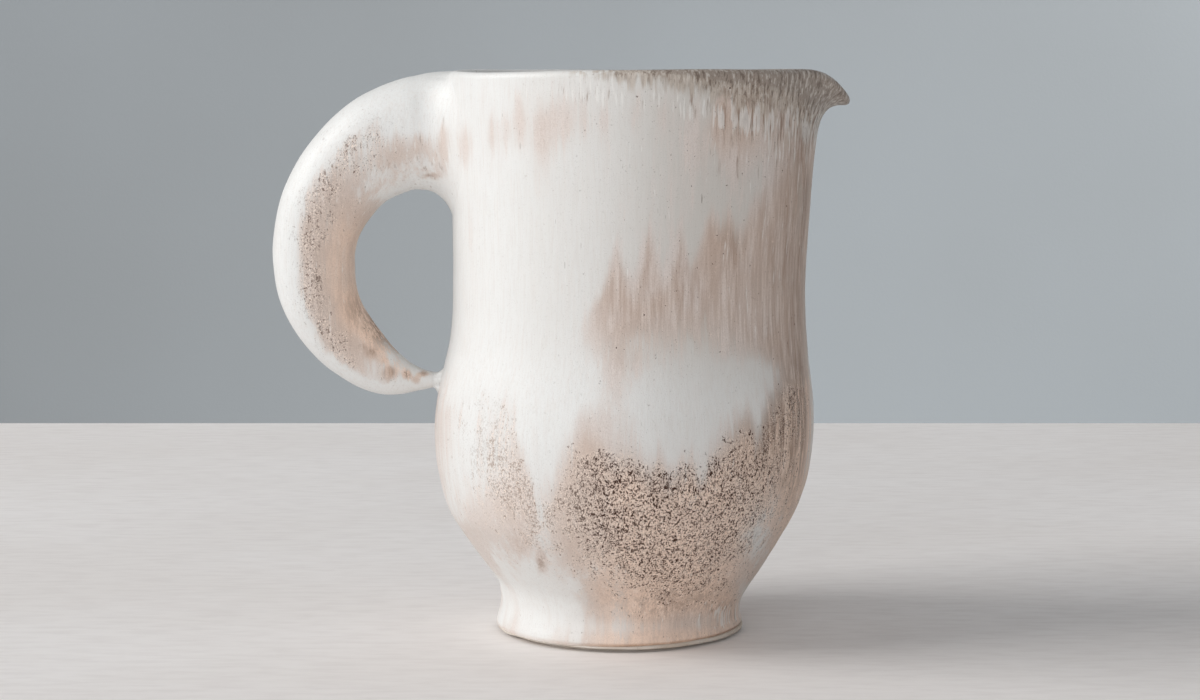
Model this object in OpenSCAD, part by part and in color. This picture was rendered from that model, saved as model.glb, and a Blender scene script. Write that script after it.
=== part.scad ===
// Hand-made ceramic pitcher: a thrown wall standing on a slab base, a beaked
// spout luted into a notch in the rim, and a tapering loop handle whose broad
// root joins the wall at the rim and whose thin tip touches the belly.
// +Z is up. The origin is the centre of the foot, on the surface it stands on.
// The spout points along +X and the handle along -X. Millimetres.

/* [Vessel] */
// Height of the rim above the table
rim_height = 190; // [175:1:205]
// Outer diameter just under the lip
rim_diameter = 124.4; // [122:0.2:130]
// Outer diameter at the narrowest part of the neck
neck_diameter = 120; // [117:0.2:123]
// Outer diameter at the widest part of the belly
belly_diameter = 128.6; // [125:0.2:136]
// Outer diameter at the waist above the foot
waist_diameter = 81.4; // [76:0.2:86]
// Outer diameter of the flared foot
foot_diameter = 84.2; // [82:0.2:92]
// Height of the widest part of the belly
belly_height = 67; // [60:1:74]
// Height of the narrowest part of the neck
neck_height = 111.4; // [104:0.2:120]
// Thickness of the thrown wall
wall = 4.8; // [4:0.1:6]

/* [Base] */
// Thickness of the base slab
slab_thickness = 3; // [2.6:0.1:4]
// Bevel round the underside of the slab
slab_bevel = 0.8; // [0.4:0.1:1.2]
// Leg of the clay coil pressed into the inside corner
seam_coil = 5; // [3:0.5:7]

/* [Spout] */
// How far the beak reaches past the wall
spout_reach = 14.2; // [9:0.2:17]
// How far the tip of the beak drops below the rim
spout_droop = 9.7; // [5:0.1:12]
// Half of the angle that the spout piece takes in the rim
spout_half_angle = 42; // [36:1:48]
// Height of the notch that the spout piece fills
spout_notch = 40; // [34:1:46]

/* [Handle] */
// Distance from the neck to the outermost point of the centre line
handle_reach = 44.6; // [40:0.1:52]
// Drop from the centre of the root to the tip
handle_drop = 84.6; // [76:0.2:92]
// Depth of the root from top to bottom
handle_root = 40.4; // [34:0.2:42]
// Thickness at the outermost point
handle_middle = 28; // [23:0.5:32]
// Thickness at the tip
handle_tip = 5.6; // [4.5:0.1:8]
// Width of the section as a share of its thickness
handle_width = 1; // [0.85:0.01:1.15]
// How far the blended coil spreads from the root onto the wall
root_coil = 7; // [4:0.5:9]

/* [Hidden] */

glaze = [0.86, 0.83, 0.80];
glaze_warm = [0.80, 0.72, 0.66];
glaze_rim = [0.66, 0.62, 0.58];
bare_clay = [0.80, 0.77, 0.72];
slip = [0.90, 0.89, 0.87];

lip = wall * 0.47;                    // radius of the rounded lip
lip_z = rim_height - lip;
root_z = rim_height - handle_root / 2 - 0.6;
tip_z = root_z - handle_drop;

// ---- curves ---------------------------------------------------------------

function mix(a, b, t) = a + (b - a) * t;
function unit(v) = v / norm(v);

// One point of a Catmull-Rom curve through p at span i, at t from 0 to 1.
function cr(p, i, t) =
    let (n = len(p) - 1,
         a = p[max(i - 1, 0)], b = p[i], c = p[min(i + 1, n)], d = p[min(i + 2, n)])
    0.5 * (2 * b + (c - a) * t + (2 * a - 5 * b + 4 * c - d) * t * t
           + (3 * b - a - 3 * c + d) * t * t * t);

// The whole curve with k steps a span.
function curve(p, k) = concat(
    [for (i = [0 : len(p) - 2], j = [0 : k - 1]) cr(p, i, j / k)], [p[len(p) - 1]]);

// ---- the wall -------------------------------------------------------------

// Outer profile as [radius, height], from the slab up to the lip.
foot_rows = [[1, 0], [0.25, 0.42], [0, 1]];
lower_rows = [[0.025, 0.06], [0.09, 0.12], [0.2, 0.18], [0.43, 0.295], [0.7, 0.47],
              [0.866, 0.647], [0.966, 0.823], [1, 1]];
upper_rows = [[0.93, 0.23], [0.5, 0.46], [0.24, 0.615], [0.07, 0.81], [0, 1]];
neck_rows = [[0.14, 0.27], [0.32, 0.507], [0.55, 0.704], [0.82, 0.875], [1, 1]];
waist_z = slab_thickness + 5.9;
profile = concat(
    [for (q = foot_rows) [mix(waist_diameter, foot_diameter, q[0]) / 2,
                          mix(slab_thickness, waist_z, q[1])]],
    [for (q = lower_rows) [mix(waist_diameter, belly_diameter, q[0]) / 2,
                           mix(waist_z, belly_height, q[1])]],
    [for (q = upper_rows) [mix(neck_diameter, belly_diameter, q[0]) / 2,
                           mix(belly_height, neck_height, q[1])]],
    [for (q = neck_rows) [mix(neck_diameter, rim_diameter, q[0]) / 2,
                          mix(neck_height, lip_z, q[1])]]);
outer = curve(profile, 3);

// Index of the first outer point that the spout moves.
notch_z = rim_height - spout_notch;
notch_i = max([for (i = [0 : len(outer) - 1]) if (outer[i][1] <= notch_z) i]);
notch_from = outer[notch_i][1];

// How much of the beak shows at an angle from its middle, and at a height.
function beak_round(a) = abs(a) >= spout_half_angle ? 0
    : 0.5 + 0.5 * cos(180 * a / spout_half_angle);
function beak_up(z) = z <= notch_from ? 0 : pow((z - notch_from) / (lip_z - notch_from), 2.6);
function beak_down(z) = z <= notch_from + 8 ? 0
    : pow((z - notch_from - 8) / (lip_z - notch_from - 8), 3.2);

// Outer line of the wall at that angle.
function outer_at(a) = let (w = beak_round(a)) w == 0 ? outer :
    [for (p = outer) [p[0] + spout_reach * w * beak_up(p[1]),
                      p[1] - spout_droop * pow(w, 3) * beak_down(p[1])]];

// Inward normal of a line at point i.
function inward(l, i) = let (d = unit(l[min(i + 1, len(l) - 1)] - l[max(i - 1, 0)])) [-d[1], d[0]];

// Wall thickness, a little less near the lip.
function thick(z) = mix(wall, 2 * lip, z > lip_z - 25 ? min(1, (z - lip_z + 25) / 25) : 0);

// Inner line of the wall at that angle, level with the slab and with the notch.
function inner_at(a) = let (l = outer_at(a))
    [for (i = [0 : len(l) - 1])
        let (up = min(1, (outer[i][1] - slab_thickness) / (waist_z - slab_thickness)),
             q = l[i] + unit(mix([-1, 0], inward(l, i), up)) * thick(outer[i][1]))
        i == notch_i ? [q[0], outer[notch_i][1]] : q];

// The rounded lip between the two lines: its outer half, its crest and its inner half.
lip_steps = 5;
function lip_at(a) = let (l = outer_at(a), m = inner_at(a), e = len(l) - 1,
                          c = (l[e] + m[e]) / 2, x = l[e] - c, y = [-x[1], x[0]])
    [for (s = [1 : 2 * lip_steps - 1]) let (t = 90 * s / lip_steps) c + x * cos(t) + y * sin(t)];

// Closed section of the wall from outer point `from` up, over the lip and down the inside.
function section(a, from, to) = let (l = outer_at(a), m = inner_at(a), e = len(l) - 1)
    to < e ? concat([for (i = [from : to]) l[i]], [for (i = [to : -1 : from]) m[i]])
    : concat([for (i = [from : e]) l[i]], lip_at(a), [for (i = [e : -1 : from]) m[i]]);

// Outer radius of the plain wall by height, up to the crest of the lip.
lip0 = lip_at(180);
radius_by_z = concat([for (p = outer) [p[1], p[0]]],
                     [for (s = [0 : lip_steps - 1]) [lip0[s][1], lip0[s][0]]]);
function wall_r(z) = lookup(z, radius_by_z);
// A point seated on the handle side of the wall.
seat = 0.03;
function on_wall(y, z) = let (r = wall_r(z) + seat) [-sqrt(max(r * r - y * y, 1)), y, z];

// ---- solids from rings ----------------------------------------------------

// A closed solid through rings of n points each, with a fan over both end rings.
module skin(rings) {
    n = len(rings[0]);
    m = len(rings);
    first = m * n;
    function centre(r) = [for (k = [0 : 2]) [for (p = r) 1] * [for (p = r) p[k]] / n];
    points = concat([for (r = rings, p = r) p], [centre(rings[0]), centre(rings[m - 1])]);
    polyhedron(points = points, convexity = 6, faces = concat(
        [for (i = [0 : m - 2], j = [0 : n - 1])
            let (a = i * n + j, b = i * n + (j + 1) % n) [a, b, b + n]],
        [for (i = [0 : m - 2], j = [0 : n - 1])
            let (a = i * n + j, b = i * n + (j + 1) % n) [a, b + n, a + n]],
        [for (j = [0 : n - 1]) [first, (j + 1) % n, j]],
        [for (j = [0 : n - 1]) [first + 1, (m - 1) * n + j, (m - 1) * n + (j + 1) % n]]));
}

// Faces that close one end, in strips between the outer and the inner line.
function end_strip(base, n, turn) = let (half = floor((n - 1) / 2)) [
    for (k = [0 : half - 1])
        let (o0 = base + k, o1 = base + k + 1, i0 = base + n - 1 - k, i1 = base + n - 2 - k)
        for (f = o1 == i1 ? [[o0, o1, i0]] : [[o0, o1, i1], [o0, i1, i0]])
            turn ? [f[0], f[2], f[1]] : f];

// ---- vessel ---------------------------------------------------------------

module body_wall() color(glaze)
    difference() {
        rotate_extrude($fn = 180) polygon(section(180, 0, len(outer) - 1));
        rotate([0, 0, -spout_half_angle])
            rotate_extrude(angle = 2 * spout_half_angle, $fn = 180)
                polygon([[10, notch_from], [110, notch_from],
                         [110, rim_height + 10], [10, rim_height + 10]]);
    }

module base_slab() color(bare_clay)
    rotate_extrude($fn = 180) polygon([
        [0, 0], [foot_diameter / 2 - slab_bevel, 0],
        [foot_diameter / 2 + 0.1, slab_bevel], [foot_diameter / 2, slab_thickness],
        [0, slab_thickness]]);

module base_seam_coil() color(glaze_warm) {
    inside = [for (p = inner_at(180)) if (p[1] <= slab_thickness + seam_coil) p];
    foot = inside[0];
    top = inside[len(inside) - 1];
    rotate_extrude($fn = 180) polygon(concat(
        inside,
        [for (t = [15 : 15 : 75])
            let (c = [foot[0] - seam_coil, top[1]])
            [c[0] + (top[0] - c[0]) * cos(t), c[1] - (top[1] - foot[1]) * sin(t)]],
        [[foot[0] - seam_coil, slab_thickness]]));
}

module spout() color(glaze_rim) {
    last = len(outer) - 1;
    steps = 28;
    angles = [for (i = [0 : steps]) spout_half_angle * (2 * i / steps - 1)];
    sections = [for (a = angles) section(a, notch_i, last)];
    n = len(sections[0]);
    points = [for (i = [0 : steps], p = sections[i])
        [p[0] * cos(angles[i]), p[0] * sin(angles[i]), p[1]]];
    polyhedron(points = points, convexity = 8, faces = concat(
        [for (i = [0 : steps - 1], j = [0 : n - 1])
            let (a = i * n + j, b = i * n + (j + 1) % n) [a, b, b + n]],
        [for (i = [0 : steps - 1], j = [0 : n - 1])
            let (a = i * n + j, b = i * n + (j + 1) % n) [a, b + n, a + n]],
        end_strip(0, n, true), end_strip(steps * n, n, false)));
}

// ---- handle ---------------------------------------------------------------

// Centre line and half thicknesses as [x, z, in the loop's plane, across it].
neck_r = neck_diameter / 2;
h0 = handle_root / 2;
h1 = handle_middle / 2;
h2 = handle_tip / 2;
tip_r = wall_r(tip_z);
loop = [
    [-neck_r - 8, root_z, h0 - 0.6, 15.6],
    [-neck_r - handle_reach * 0.37, root_z - handle_drop * 0.03, mix(h1, h0, 0.74), 15.6],
    [-neck_r - handle_reach * 0.656, root_z - handle_drop * 0.117, mix(h1, h0, 0.48), 15.3],
    [-neck_r - handle_reach * 0.9, root_z - handle_drop * 0.29, mix(h1, h0, 0.18), 14.2],
    [-neck_r - handle_reach, root_z - handle_drop * 0.516, h1, 13.3],
    [-neck_r - handle_reach * 0.93, root_z - handle_drop * 0.704, mix(h2, h1, 0.91), 12.6],
    [-mix(neck_r, tip_r, 0.5) - handle_reach * 0.76, root_z - handle_drop * 0.846, mix(h2, h1, 0.76), 11.4],
    [-mix(neck_r, tip_r, 0.8) - handle_reach * 0.55, root_z - handle_drop * 0.942, mix(h2, h1, 0.59), 9.7],
    [-tip_r - 15, tip_z + 0.1, mix(h2, h1, 0.38), 7.6],
    [-tip_r - 8.6, tip_z - 0.3, mix(h2, h1, 0.17), 5.5],
    [-tip_r - 4, tip_z - 0.1, mix(h2, h1, 0.03), 4],
    [-tip_r - 2, tip_z, h2, 3.6]];
sides = 40;
spine = curve(loop, 4);
function across(s) = s[3] * handle_width;

// Section i of the loop: upright at both ends, square to the centre line between.
function loop_ring(i) =
    let (s = spine[i], e = len(spine) - 1,
         d = unit([spine[min(i + 1, e)][0] - spine[max(i - 1, 0)][0],
                   spine[min(i + 1, e)][1] - spine[max(i - 1, 0)][1]]),
         up = unit(i < 8 ? mix([0, 1], [d[1], -d[0]], i / 8)
                         : mix([0, -1], [d[1], -d[0]], min(1, (e - i) / 4))))
    [for (j = [0 : sides - 1]) let (t = 360 * j / sides)
        [s[0] + up[0] * s[2] * cos(t), -across(s) * sin(t), s[1] + up[1] * s[2] * cos(t)]];

// The ring where the root meets the wall, grown by g and scaled by k.
function root_ring(g, k) = [for (j = [0 : sides - 1]) let (t = 360 * j / sides)
    on_wall(-(15.6 * handle_width + g) * k * sin(t), root_z + (h0 + g) * k * cos(t))];

module handle() color(glaze_warm)
    skin(concat([for (k = [0.04, 0.3, 0.55, 0.8]) root_ring(0, k)], [root_ring(0, 1)],
                [for (i = [0 : len(spine) - 1]) loop_ring(i)]));

module handle_root_coil() color(glaze_warm) {
    // A horseshoe round the root, open at the top where the root reaches the rim.
    from = 6;
    to = sides - 6;
    base = root_ring(0, 1);
    near = loop_ring(0);
    far = loop_ring(1);
    rings = [for (j = [from : to])
        let (g = mix(0.9, root_coil, pow(sin(180 * (j - from) / (to - from)), 0.6)),
             t = 360 * j / sides,
             b1 = on_wall(-(15.6 * handle_width + g / 2) * sin(t), root_z + (h0 + g / 2) * cos(t)),
             b2 = on_wall(-(15.6 * handle_width + g) * sin(t), root_z + (h0 + g) * cos(t)),
             top = mix(near[j], far[j], mix(0.1, 1, g / root_coil)))
        [base[j], b1, b2,
         for (u = [0.25, 0.5, 0.75])
            let (m = mix(base[j], (b2 + top) / 2, 0.35))
            (1 - u) * (1 - u) * b2 + 2 * u * (1 - u) * m + u * u * top,
         top, near[j]]];
    n = len(rings[0]);
    m = len(rings);
    polyhedron(points = [for (r = rings, p = r) p], convexity = 6, faces = concat(
        [for (i = [0 : m - 2], j = [0 : n - 1])
            let (a = i * n + j, b = i * n + (j + 1) % n) [a, a + n, b]],
        [for (i = [0 : m - 2], j = [0 : n - 1])
            let (a = i * n + j, b = i * n + (j + 1) % n) [b, a + n, b + n]],
        [for (j = [1 : n - 2]) [0, j, j + 1]],
        [for (j = [1 : n - 2]) let (z = (m - 1) * n) [z, z + j + 1, z + j]]));
}

module handle_tip_dab() color(slip)
    difference() {
        translate([-tip_r - 2, 0, tip_z]) rotate([0, 90, 0])
            cylinder(h = 6, r1 = h2 + 1.3, r2 = h2 + 5, $fn = 72);
        rotate_extrude($fn = 180) polygon(concat(
            [[20, tip_z - 16]], [[wall_r(tip_z - 16), tip_z - 16]],
            [for (q = outer) if (abs(q[1] - tip_z) < 16) q],
            [[wall_r(tip_z + 16), tip_z + 16]], [[20, tip_z + 16]]));
    }

body_wall();
base_slab();
base_seam_coil();
spout();
handle();
handle_root_coil();
handle_tip_dab();
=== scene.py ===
import math

import bpy
import numpy as np
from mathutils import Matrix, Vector


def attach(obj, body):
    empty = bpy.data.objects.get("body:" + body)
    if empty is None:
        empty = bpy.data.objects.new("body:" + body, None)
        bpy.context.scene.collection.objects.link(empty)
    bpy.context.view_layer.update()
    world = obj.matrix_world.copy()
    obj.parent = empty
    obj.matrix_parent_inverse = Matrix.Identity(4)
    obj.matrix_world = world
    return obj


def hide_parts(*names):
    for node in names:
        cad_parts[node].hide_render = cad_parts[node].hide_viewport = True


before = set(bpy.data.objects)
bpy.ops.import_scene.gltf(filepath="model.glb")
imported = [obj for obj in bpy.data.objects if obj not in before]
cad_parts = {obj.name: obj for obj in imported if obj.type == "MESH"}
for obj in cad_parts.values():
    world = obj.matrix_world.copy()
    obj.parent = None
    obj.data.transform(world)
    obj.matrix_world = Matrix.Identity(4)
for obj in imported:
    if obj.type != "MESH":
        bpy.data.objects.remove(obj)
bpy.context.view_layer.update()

# --- camera ------------------------------------------------------------------
# Eye level with the rim, 0.88 m away, tilted a little down.
EYE = (-6.8, -880.0, 190.0)
AIM = (-6.8, 0.0, 95.5)
FOCAL_PX = 2604.0

cam_data = bpy.data.cameras.new("camera")
cam_data.sensor_width = 36.0
cam_data.lens = FOCAL_PX / 1200.0 * 36.0
cam_data.clip_start = 0.01
cam_data.clip_end = 50.0
cam = bpy.data.objects.new("camera", cam_data)
bpy.context.scene.collection.objects.link(cam)
cam.location = [c / 1000.0 for c in EYE]
look = Vector([(a - e) / 1000.0 for a, e in zip(AIM, EYE)])
cam.rotation_euler = look.to_track_quat("-Z", "Y").to_euler()
bpy.context.scene.camera = cam

# --- shape ---------------------------------------------------------------------


def ramp(x, a, b):
    """0 below a, 1 above b, smooth between. a may be above b."""
    t = np.clip((np.asarray(x, float) - a) / (b - a), 0.0, 1.0)
    return t * t * (3.0 - 2.0 * t)


def through(points, x):
    """A smooth curve through rows of (x, a, b, ...), evaluated at x."""
    p = np.array(points, float)
    t, v = p[:, 0], p[:, 1:]
    dt = np.diff(t)
    d = np.diff(v, axis=0) / dt[:, None]
    mid = (d[1:] * dt[:-1, None] + d[:-1] * dt[1:, None]) / (dt[:-1] + dt[1:])[:, None]
    m = np.vstack([d[:1], mid, d[-1:]])
    x = np.clip(np.asarray(x, float), t[0], t[-1])
    i = np.clip(np.searchsorted(t, x, side="right") - 1, 0, len(t) - 2)
    h = dt[i][..., None]
    u = ((x - t[i]) / dt[i])[..., None]
    return (
        (2 * u**3 - 3 * u**2 + 1) * v[i]
        + (u**3 - 2 * u**2 + u) * h * m[i]
        + (-2 * u**3 + 3 * u**2) * v[i + 1]
        + (u**3 - u**2) * h * m[i + 1]
    )


class Lattice:
    """Smooth noise from -1 to 1 on a repeating random lattice."""

    def __init__(self, seed):
        self.g = np.random.default_rng(seed).uniform(-1, 1, (32, 32, 32))

    def __call__(self, p):
        p = np.asarray(p, float)
        i = np.floor(p).astype(int)
        f = p - i
        f = f * f * f * (f * (f * 6 - 15) + 10)
        out = 0.0
        for dx in (0, 1):
            for dy in (0, 1):
                for dz in (0, 1):
                    w = (
                        np.where(dx, f[..., 0], 1 - f[..., 0])
                        * np.where(dy, f[..., 1], 1 - f[..., 1])
                        * np.where(dz, f[..., 2], 1 - f[..., 2])
                    )
                    out = out + w * self.g[
                        (i[..., 0] + dx) % 32, (i[..., 1] + dy) % 32, (i[..., 2] + dz) % 32
                    ]
        return out


wobble = Lattice(11)
ripple = Lattice(23)
blotch = Lattice(37)
edge_noise = Lattice(51)

# The wall: height, outer radius, and how far its centre leans to +X.
WALL = [
    (2.2, 41.95, 0.0), (3.0, 41.85, 0.0), (4.2, 41.6, 0.0), (5.7, 41.15, 0.0), (7.4, 40.9, 0.15),
    (9.2, 40.8, 0.4), (11.0, 41.0, 0.75), (12.8, 41.5, 1.1), (14.6, 42.2, 1.5),
    (16.4, 43.0, 1.8), (19.6, 45.0, 2.0), (23.1, 47.4, 1.85), (26.6, 49.8, 1.6),
    (30.0, 52.1, 1.4), (33.5, 54.3, 1.15), (37.0, 56.5, 1.0), (40.4, 58.4, 0.8),
    (43.9, 59.95, 0.8), (47.4, 61.1, 0.9), (51.0, 62.1, 1.1), (57.5, 63.4, 1.1),
    (64.5, 64.1, 1.2), (71.5, 64.25, 1.35), (78.4, 63.75, 1.6), (85.2, 62.75, 1.85),
    (92.0, 61.55, 2.25), (98.9, 60.5, 2.8), (105.7, 59.95, 3.05), (112.6, 59.7, 3.15),
    (119.4, 59.65, 3.2), (126.2, 59.75, 3.35), (133.0, 59.9, 3.5), (140.0, 60.1, 3.7),
    (150.0, 60.4, 3.9), (160.0, 60.7, 4.0), (170.0, 61.1, 4.0), (180.0, 61.5, 4.0),
    (188.0, 61.8, 4.0),
]
# The beak, along its middle: height on the plain wall, how far it comes forward, how far it drops.
BEAK = [
    (150.0, 0.0, 0.0), (155.7, 0.13, 0.05), (161.4, 0.4, 0.05), (167.1, 0.85, 0.05),
    (172.0, 1.5, 0.4), (176.2, 2.7, 1.1), (179.6, 4.4, 2.4), (183.1, 6.6, 4.9),
    (188.0, 9.5, 9.6),
]
TOP = 188.0
NOTCH = 144.4
NCOL = 300
SPOUT_COL = 35  # 42 degrees each side
LIP_ROWS = 9

z_rows = np.concatenate([
    np.linspace(2.2, 6.0, 12, endpoint=False),
    np.linspace(6.0, NOTCH, 92, endpoint=False),
    np.linspace(NOTCH, TOP, 40),
])
NOTCH_ROW = 12 + 92
N_OUT = len(z_rows)


def joint_line(theta):
    """How far the line between wall and slab strays from level, by angle in radians."""
    ring = np.stack([np.cos(theta), np.sin(theta), 0 * theta], -1)
    return 0.22 * edge_noise(ring * 2.1 + [1, 8, 3]) + 0.08 * edge_noise(ring * 8.0) - 0.35 * np.exp(
        -(((np.degrees(theta) % 360.0 - 232.0) / 26.0) ** 2)
    )


def hump(a, half):
    """Raised cosine of an angle in degrees."""
    return np.where(np.abs(a) < half, 0.5 + 0.5 * np.cos(np.pi * np.clip(a / half, -1, 1)), 0.0)


def wall_grid():
    """Outer rows, lip rows, then inner rows from the lip down: points in mm, shape (rows, columns, 3)."""
    col = np.arange(NCOL) * 360.0 / NCOL
    a = (col + 180.0) % 360.0 - 180.0
    rc = through(WALL, z_rows)
    r = np.repeat(rc[:, :1], NCOL, axis=1)
    lean = rc[:, 1]
    z = np.repeat(z_rows[:, None], NCOL, axis=1)
    th = np.radians(col)[None, :]
    p = np.stack([r * np.cos(th), r * np.sin(th), z], axis=-1)
    # Hand-made unevenness, and the joint line above the slab.
    r = r + 0.34 * wobble(p / [36, 36, 40]) + 0.12 * wobble(p / [12, 12, 30] + 7.3)
    r = r + 0.06 * ripple(p / [45, 45, 5.5])
    r = r * (1 + 0.0022 * np.cos(2 * th + 0.7) * ramp(z, 60, 180))
    groove = 0.22 + 0.6 * ramp(np.cos(th + 0.75), 0.1, 1.0) + 0.18 * edge_noise(p / [9, 9, 9])
    r = r - groove * (1 - ramp(z, 2.2, 3.4)) ** 1.5
    # The beak.
    narrow, wide = hump(a, 37.0)[None, :], hump(a, 66.0)[None, :]
    f = through(BEAK, z_rows)
    w = 0.80 * narrow + 0.20 * wide
    r = r + f[:, :1] * w
    drop = f[:, 1:] * narrow**2.7
    rim = (
        0.25 * edge_noise(np.stack([np.cos(th) * 2.2 + 5, np.sin(th) * 2.2, th * 0], -1))
        - 0.75 * np.exp(-(((col - 222.0) / 26.0) ** 2))[None, :]
        + 0.22 * np.exp(-(((col - 285.0) / 30.0) ** 2))[None, :]
    ) * ramp(z, 168, 188)
    z = z - drop + rim + joint_line(th) * (1 - ramp(z, 2.2, 4.6))
    # Inner line: each outer point moved in by the wall's thickness.
    dr, dz = np.gradient(r, axis=0), np.gradient(z, axis=0)
    n = np.hypot(dr, dz)
    nr, nz = -dz / n, dr / n
    up = ramp(z_rows, 2.2, 9.0)[:, None]
    nr, nz = (1 - up) * -1 + up * nr, up * nz
    t = 4.8 - 0.75 * ramp(z_rows, 158, 188)[:, None] - 0.95 * narrow * ramp(z_rows, 170, 188)[:, None]
    ri, zi = r + nr * t, z + nz * t
    ri = ri + 0.13 * np.sin(2 * np.pi * (zi / 7.5 - th / (2 * np.pi))) * ramp(zi, 8, 20) * (1 - ramp(zi, 165, 182))
    # Round lip between the two.
    cr, cz = (r[-1] + ri[-1]) / 2, (z[-1] + zi[-1]) / 2
    vr, vz = r[-1] - cr, z[-1] - cz
    s = np.pi * (np.arange(1, LIP_ROWS + 1) / (LIP_ROWS + 1))[:, None]
    lip_r = cr + vr * np.cos(s) - vz * np.sin(s)
    lip_z = cz + vz * np.cos(s) + vr * np.sin(s)
    rr = np.vstack([r, lip_r, ri[::-1]])
    zz = np.vstack([z, lip_z, zi[::-1]])
    cx = np.concatenate([lean, np.full(LIP_ROWS, lean[-1]), lean[::-1]])[:, None]
    return np.stack([cx + rr * np.cos(th), rr * np.sin(th) + 0 * zz, zz], axis=-1)


def grid_normals(g):
    """Normals of a grid of points that closes round its columns, pointing to the right of up."""
    du = np.roll(g, -1, 1) - np.roll(g, 1, 1)
    dv = np.gradient(g, axis=0)
    n = np.cross(du, dv)
    return n / np.linalg.norm(n, axis=-1, keepdims=True)


WALL_P = wall_grid()
WALL_N = grid_normals(WALL_P)
ROWS = len(WALL_P)


def on_wall(theta, row):
    """Point and normal of the wall at an angle in radians and a row number, both fractional."""
    c = (np.degrees(theta) % 360.0) / 360.0 * NCOL
    i, j = np.floor(row).astype(int), np.floor(c).astype(int)
    fr, fc = (row - i)[..., None], (c - j)[..., None]
    out = []
    for g in (WALL_P, WALL_N):
        v = (
            (1 - fr) * ((1 - fc) * g[i, j % NCOL] + fc * g[i, (j + 1) % NCOL])
            + fr * ((1 - fc) * g[i + 1, j % NCOL] + fc * g[i + 1, (j + 1) % NCOL])
        )
        out.append(v)
    out[1] = out[1] / np.linalg.norm(out[1], axis=-1, keepdims=True)
    return out


# The handle: centre x, centre z, half thickness in the loop's plane, half width across,
# and the direction of its outer side in degrees.
LOOP = [
    (-66.0, 169.4, 19.5, 15.4, 90.0),
    (-72.2, 168.6, 18.75, 15.2, 95.0),
    (-84.8, 162.8, 17.3, 14.9, 110.0),
    (-93.9, 153.6, 16.0, 14.4, 127.0),
    (-100.0, 143.5, 15.0, 13.9, 145.0),
    (-103.0, 132.9, 14.25, 13.5, 165.0),
    (-103.5, 123.9, 13.85, 13.2, 180.0),
    (-102.2, 114.8, 13.2, 12.8, 194.0),
    (-98.2, 105.8, 12.1, 12.0, 208.0),
    (-92.0, 98.0, 11.0, 11.0, 222.0),
    (-84.9, 91.8, 9.6, 9.8, 236.0),
    (-78.8, 88.0, 8.0, 8.5, 247.0),
    (-73.0, 86.0, 6.0, 7.0, 254.0),
    (-68.0, 85.4, 4.1, 5.4, 259.0),
    (-65.2, 85.3, 3.25, 4.5, 263.0),
    (-63.4, 85.4, 2.8, 3.9, 266.0),
]
NPHI = 96


def loop_at(t):
    pts = [(i,) + p for i, p in enumerate(LOOP)]
    return through(pts, t)


def handle_ring(s, grow=0.0):
    """Points of one section: phi 0 is the outer side of the loop."""
    phi = np.arange(NPHI) * 2 * np.pi / NPHI
    up = np.array([math.cos(math.radians(s[4])), 0.0, math.sin(math.radians(s[4]))])
    c = np.array([s[0], 0.0, s[1]])
    e = 2.0 / 2.12
    cs = np.sign(np.cos(phi)) * np.abs(np.cos(phi)) ** e
    sn = np.sign(np.sin(phi)) * np.abs(np.sin(phi)) ** e
    return c + (s[2] + grow) * cs[:, None] * up + (s[3] + grow) * sn[:, None] * np.array([0.0, -1.0, 0.0])


def handle_grid():
    t = np.concatenate([np.linspace(0, 1, 10, endpoint=False), np.linspace(1, len(LOOP) - 1, 150)])
    rings = np.array([handle_ring(s) for s in loop_at(t)])
    n = grid_normals(rings)
    fade = ramp(t, 0.0, 0.6)[:, None, None] * (1 - 0.5 * ramp(t, 12, 15)[:, None, None])
    rings = rings + n * fade * (
        0.42 * wobble(rings / 22.0 + 3.1) + 0.16 * wobble(rings / 8.0 + 9.7)
    )[..., None]
    return rings, t


HANDLE_P, HANDLE_T = handle_grid()
HANDLE_N = grid_normals(HANDLE_P)


def row_of_height(theta, z):
    """Fractional outer row at which the wall passes a height, at the handle's side."""
    j = int(round((math.degrees(theta) % 360.0) / 360.0 * NCOL)) % NCOL
    return np.interp(z, WALL_P[: N_OUT + 1, j, 2], np.arange(N_OUT + 1))


def bridge(wall_pts, wall_nrm, rim, along, steps, pull=(1.0, 1.0), sink=0.12):
    """Smooth skin from a ring on the wall to a ring of the handle."""
    d = rim - wall_pts
    flat = d - (d * wall_nrm).sum(-1, keepdims=True) * wall_nrm
    size = np.linalg.norm(d, axis=-1, keepdims=True)
    t0 = flat / np.maximum(np.linalg.norm(flat, axis=-1, keepdims=True), 1e-6) * size * pull[0]
    t1 = along * size * pull[1]
    u = np.linspace(0, 1, steps)[:, None, None]
    start = wall_pts - wall_nrm * sink
    return (
        (2 * u**3 - 3 * u**2 + 1) * start
        + (u**3 - 2 * u**2 + u) * t0
        + (-2 * u**3 + 3 * u**2) * rim
        + (u**3 - u**2) * t1
    )


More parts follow.
